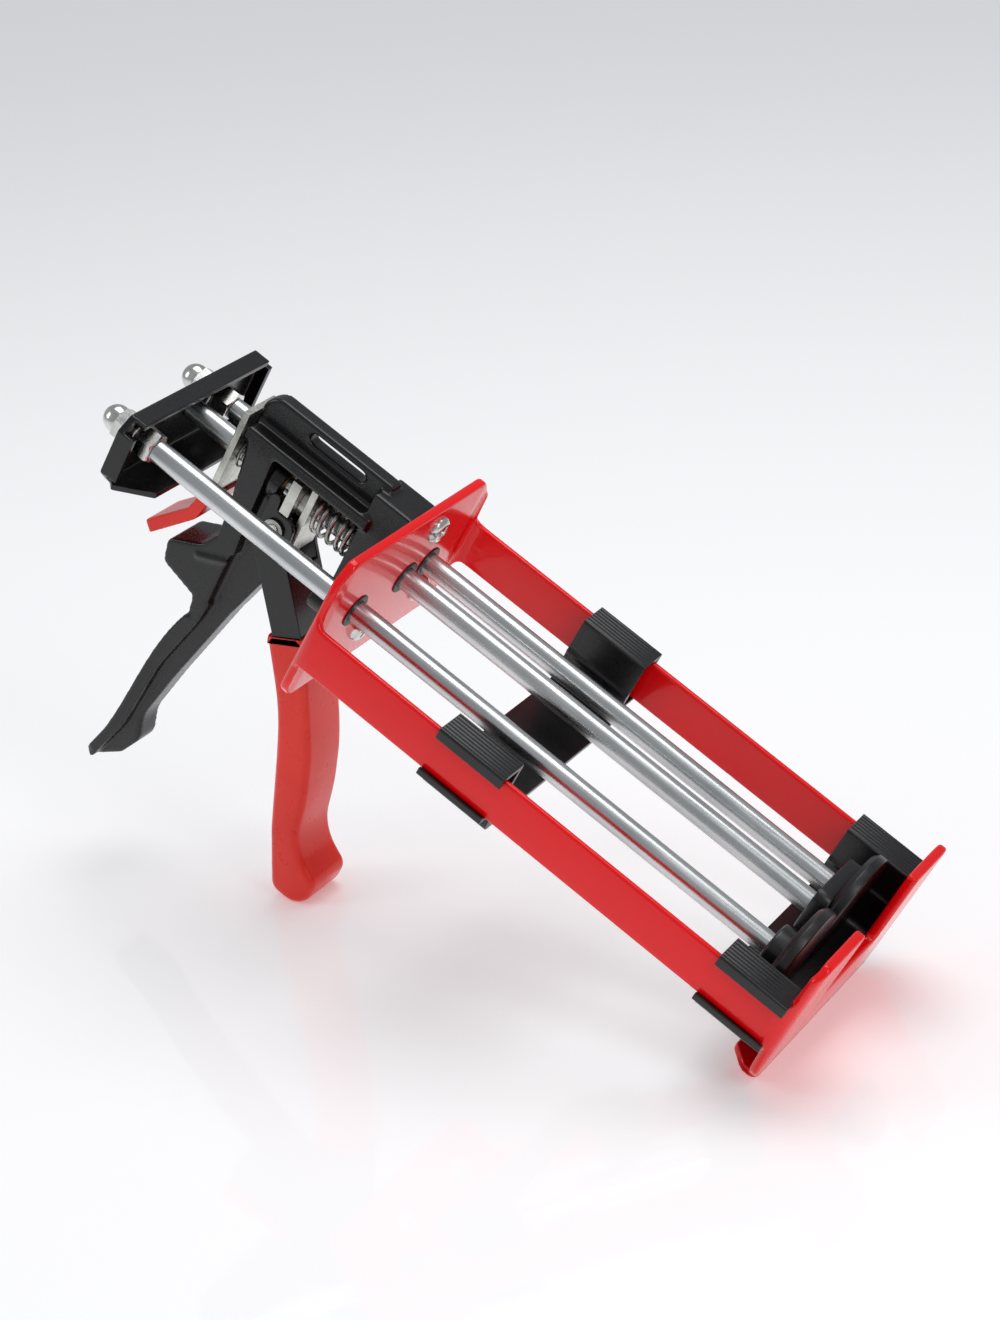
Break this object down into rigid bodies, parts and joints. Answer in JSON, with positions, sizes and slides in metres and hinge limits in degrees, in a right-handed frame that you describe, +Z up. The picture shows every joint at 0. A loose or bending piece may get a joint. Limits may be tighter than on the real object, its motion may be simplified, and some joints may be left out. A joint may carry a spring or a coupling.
{
  "type": "caulking gun",
  "caption": "Two-cartridge dispensing gun with a folded sheet-steel carriage, cast grip, sprung trigger drive, rods joined by a yoke, and round plungers.",
  "frame": {"origin": "centre of the whole gun's box on the floor it stands on", "axes": "+X towards the nozzle end, +Y to the gun's left, +Z up; the rods' axes slope down towards +X"},
  "size_m": [0.3988, 0.1326, 0.2373],
  "materials": {
    "red_enamel": "gloss red enamel over folded sheet steel",
    "black_coat": "satin black powder coat over die-cast aluminium",
    "black_enamel": "satin black powder coat over pressed steel",
    "black_plastic": "moulded glass-filled nylon",
    "rubber_black": "moulded rubber",
    "red_grip": "dipped vinyl, glossy",
    "zinc_rod": "drawn and bright zinc plated",
    "zinc_plate": "stamped and zinc plated",
    "zinc_nut": "bright nickel plated",
    "black_screw": "black oxide",
    "spring_steel": "drawn spring wire",
    "bronze": "sintered bronze"
  },
  "bodies": {
    "frame": {"carriage_back_plate": "red_enamel", "carriage_front_plate": "red_enamel", "carriage_strap_right": "red_enamel", "carriage_strap_left": "red_enamel", "carriage_screws": "zinc_nut", "rod_grommets": "rubber_black", "saddle_middle": "black_plastic", "saddle_front": "black_plastic", "body_casting": "black_coat", "drive_rod_bushes": "bronze", "trigger_pin": "zinc_nut", "trigger_pin_circlips": "spring_steel", "trigger_stop_pin": "zinc_plate", "trigger_spring": "spring_steel", "main_spring": "spring_steel", "release_spring": "spring_steel"},
    "trigger": {"trigger_lever": "black_enamel", "trigger_grip": "red_grip"},
    "drive_plates": {"drive_plate_rear": "zinc_plate", "drive_plate_front": "zinc_plate", "drive_plate_spacer": "zinc_plate"},
    "release": {"release_lever": "zinc_plate", "release_lever_sleeve": "red_grip"},
    "rods": {"drive_rod": "zinc_rod", "push_rod_right": "zinc_rod", "push_rod_left": "zinc_rod", "yoke": "black_enamel", "yoke_washers": "zinc_nut", "yoke_lock_nuts": "zinc_nut", "acorn_nuts": "zinc_nut", "plunger_right": "black_plastic", "plunger_left": "black_plastic", "plunger_screws": "black_screw"}
  },
  "joints": [
    {"name": "trigger_squeeze", "type": "hinge", "parent": "frame", "child": "trigger", "pos_m": [-0.08252, 0.01, 0.18039], "axis": [0, 1, 0], "range_deg": [0, 22], "stiffness_Nm_per_rad": 2, "springref_deg": -45.84, "deforming": ["trigger_spring"]},
    {"name": "drive_plate_slide", "type": "slide", "parent": "frame", "child": "drive_plates", "axis": [0.8548, 0, -0.5189], "range_m": [0, 0.0056], "deforming": ["main_spring"]},
    {"name": "rod_slide", "type": "slide", "parent": "frame", "child": "rods", "axis": [0.8548, 0, -0.5189], "range_m": [-0.203, 0]},
    {"name": "release_press", "type": "hinge", "parent": "frame", "child": "release", "pos_m": [-0.09291, 0.01, 0.22881], "axis": [0, -1, 0], "range_deg": [0, 3], "stiffness_Nm_per_rad": 2, "springref_deg": -11.46, "deforming": ["release_spring"]}
  ],
  "couplings": [
    {"joint": "drive_plate_slide", "follows": "trigger_squeeze", "m_per_rad": 0.0137}
  ]
}
